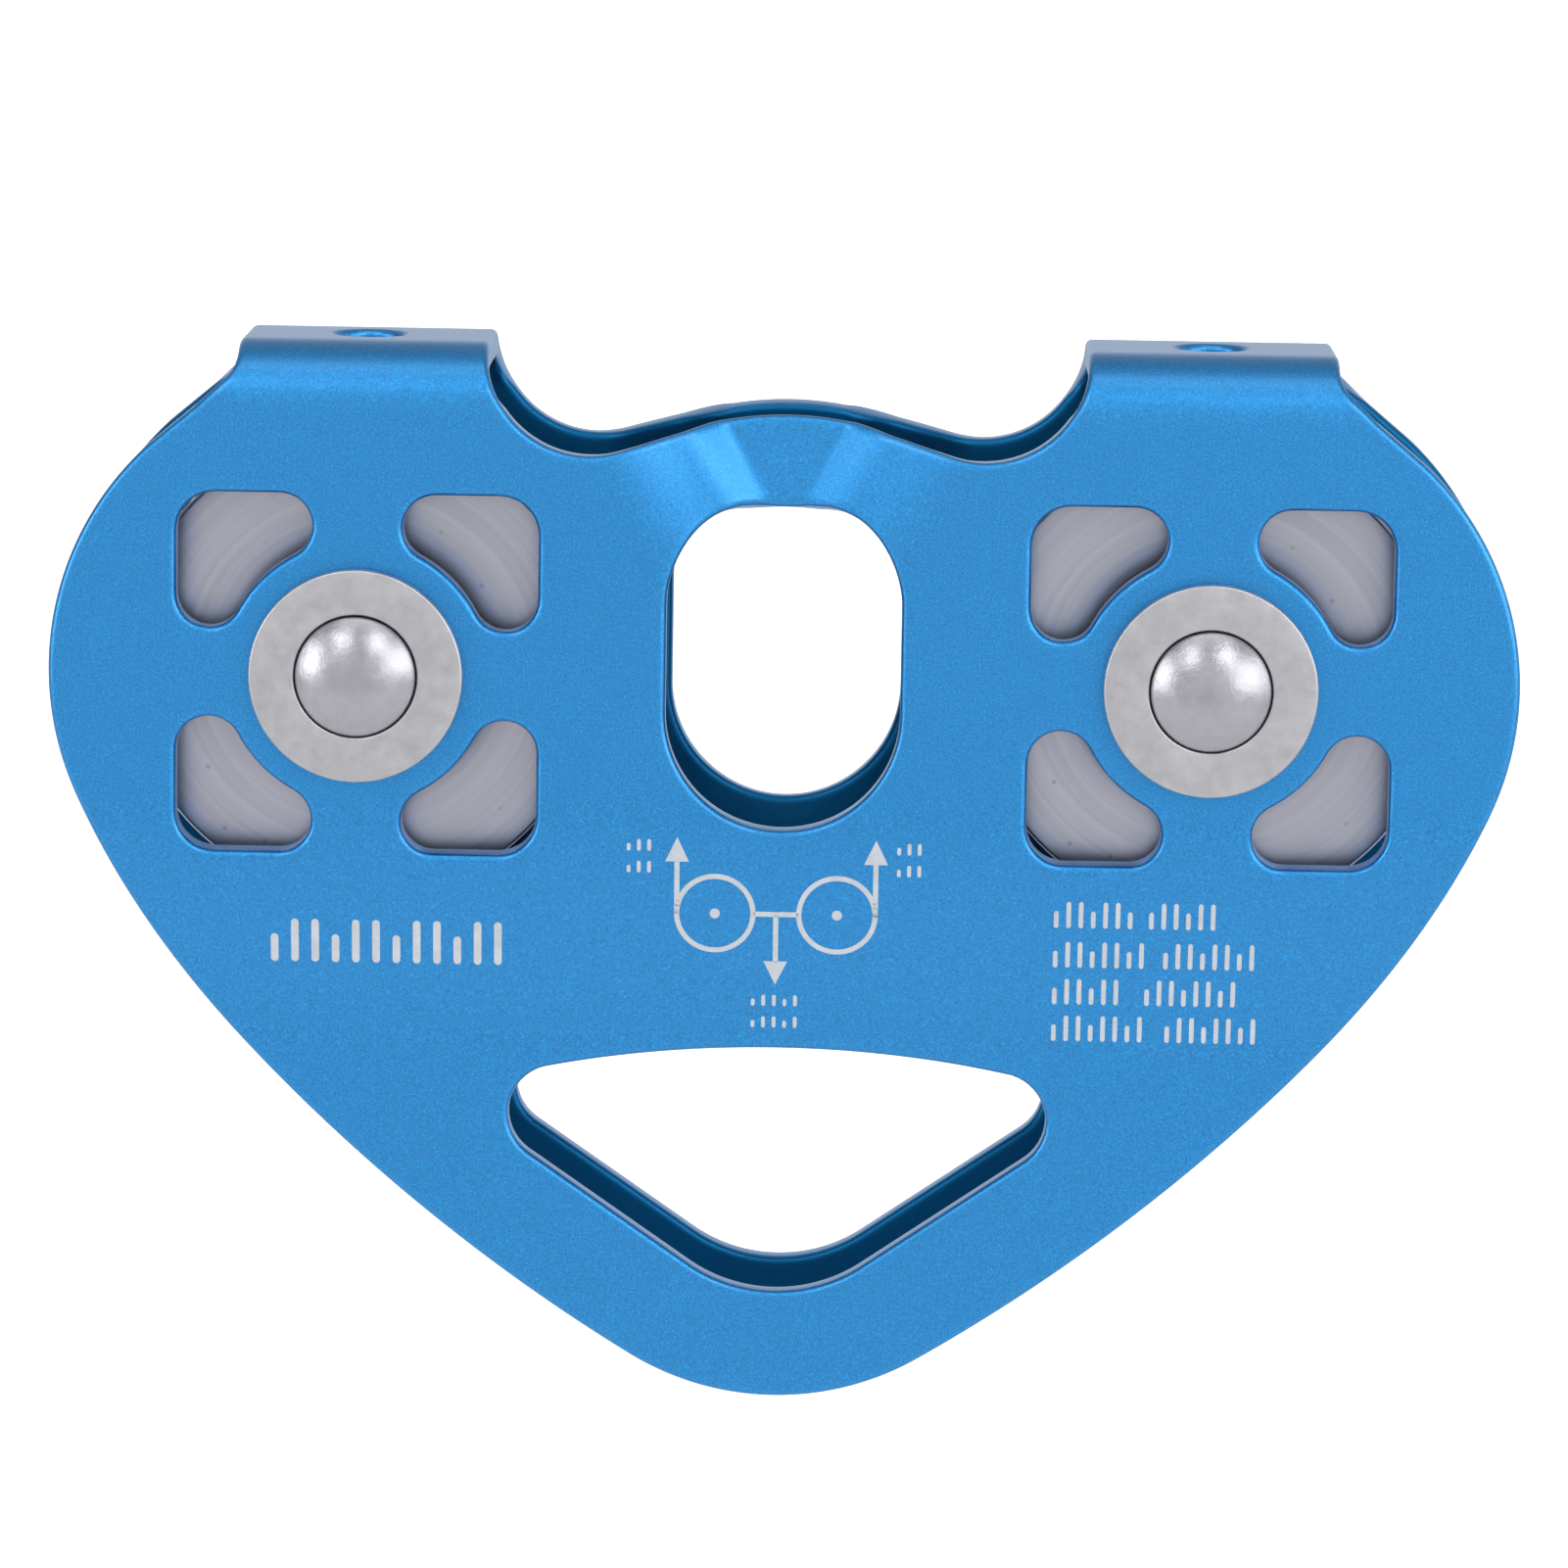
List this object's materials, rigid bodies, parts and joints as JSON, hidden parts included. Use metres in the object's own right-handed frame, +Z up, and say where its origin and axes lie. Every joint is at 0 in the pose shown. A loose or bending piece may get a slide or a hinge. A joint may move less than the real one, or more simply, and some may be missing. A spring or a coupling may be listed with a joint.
{
  "type": "tandem rope pulley",
  "caption": "Tandem rope pulley with a folded heart-shaped frame, two ball-bearing sheaves in line, riveted axles and slots for connectors.",
  "frame": {"origin": "on the rope's centre line, midway between the two sheaves and midway between the plates", "axes": "+X along the rope towards the right-hand sheave, -Y out of the front plate, +Z up"},
  "size_m": [0.1724, 0.0382, 0.1254],
  "materials": {
    "blue_anodised": "satin bead-blasted, blue anodised",
    "sheave_steel": "turned faces, fine circular brushing",
    "washer_steel": "tumbled, slightly matt",
    "rivet_steel": "polished dome",
    "bearing_steel": "ground bearing steel"
  },
  "bodies": {
    "frame_body": {"frame": "blue_anodised", "left_axle": "rivet_steel", "left_front_washer": "washer_steel", "left_rear_washer": "washer_steel", "left_front_spacer": "bearing_steel", "left_rear_spacer": "bearing_steel", "left_bearing_inner_ring": "bearing_steel", "right_axle": "rivet_steel", "right_front_washer": "washer_steel", "right_rear_washer": "washer_steel", "right_front_spacer": "bearing_steel", "right_rear_spacer": "bearing_steel", "right_bearing_inner_ring": "bearing_steel"},
    "left_wheel": {"left_sheave": "sheave_steel", "left_bearing_outer_ring": "bearing_steel", "left_snap_ring": "bearing_steel", "left_front_bearing_shield": "bearing_steel", "left_rear_bearing_shield": "bearing_steel"},
    "left_ball_train": {"left_ball_cage": "bearing_steel", "left_ball_1": "bearing_steel", "left_ball_2": "bearing_steel", "left_ball_3": "bearing_steel", "left_ball_4": "bearing_steel", "left_ball_5": "bearing_steel", "left_ball_6": "bearing_steel", "left_ball_7": "bearing_steel", "left_ball_8": "bearing_steel"},
    "right_wheel": {"right_sheave": "sheave_steel", "right_bearing_outer_ring": "bearing_steel", "right_snap_ring": "bearing_steel", "right_front_bearing_shield": "bearing_steel", "right_rear_bearing_shield": "bearing_steel"},
    "right_ball_train": {"right_ball_cage": "bearing_steel", "right_ball_1": "bearing_steel", "right_ball_2": "bearing_steel", "right_ball_3": "bearing_steel", "right_ball_4": "bearing_steel", "right_ball_5": "bearing_steel", "right_ball_6": "bearing_steel", "right_ball_7": "bearing_steel", "right_ball_8": "bearing_steel"}
  },
  "joints": [
    {"name": "left_sheave_spin", "type": "hinge", "parent": "frame_body", "child": "left_wheel", "pos_m": [-0.05, 0, -0.027], "axis": [0, 1, 0], "continuous": true},
    {"name": "left_cage_spin", "type": "hinge", "parent": "frame_body", "child": "left_ball_train", "pos_m": [-0.05, 0, -0.027], "axis": [0, 1, 0], "continuous": true},
    {"name": "right_sheave_spin", "type": "hinge", "parent": "frame_body", "child": "right_wheel", "pos_m": [0.05, 0, -0.027], "axis": [0, 1, 0], "continuous": true},
    {"name": "right_cage_spin", "type": "hinge", "parent": "frame_body", "child": "right_ball_train", "pos_m": [0.05, 0, -0.027], "axis": [0, 1, 0], "continuous": true}
  ],
  "couplings": [
    {"joint": "left_cage_spin", "follows": "left_sheave_spin", "ratio": 0.615},
    {"joint": "right_cage_spin", "follows": "right_sheave_spin", "ratio": 0.615}
  ]
}
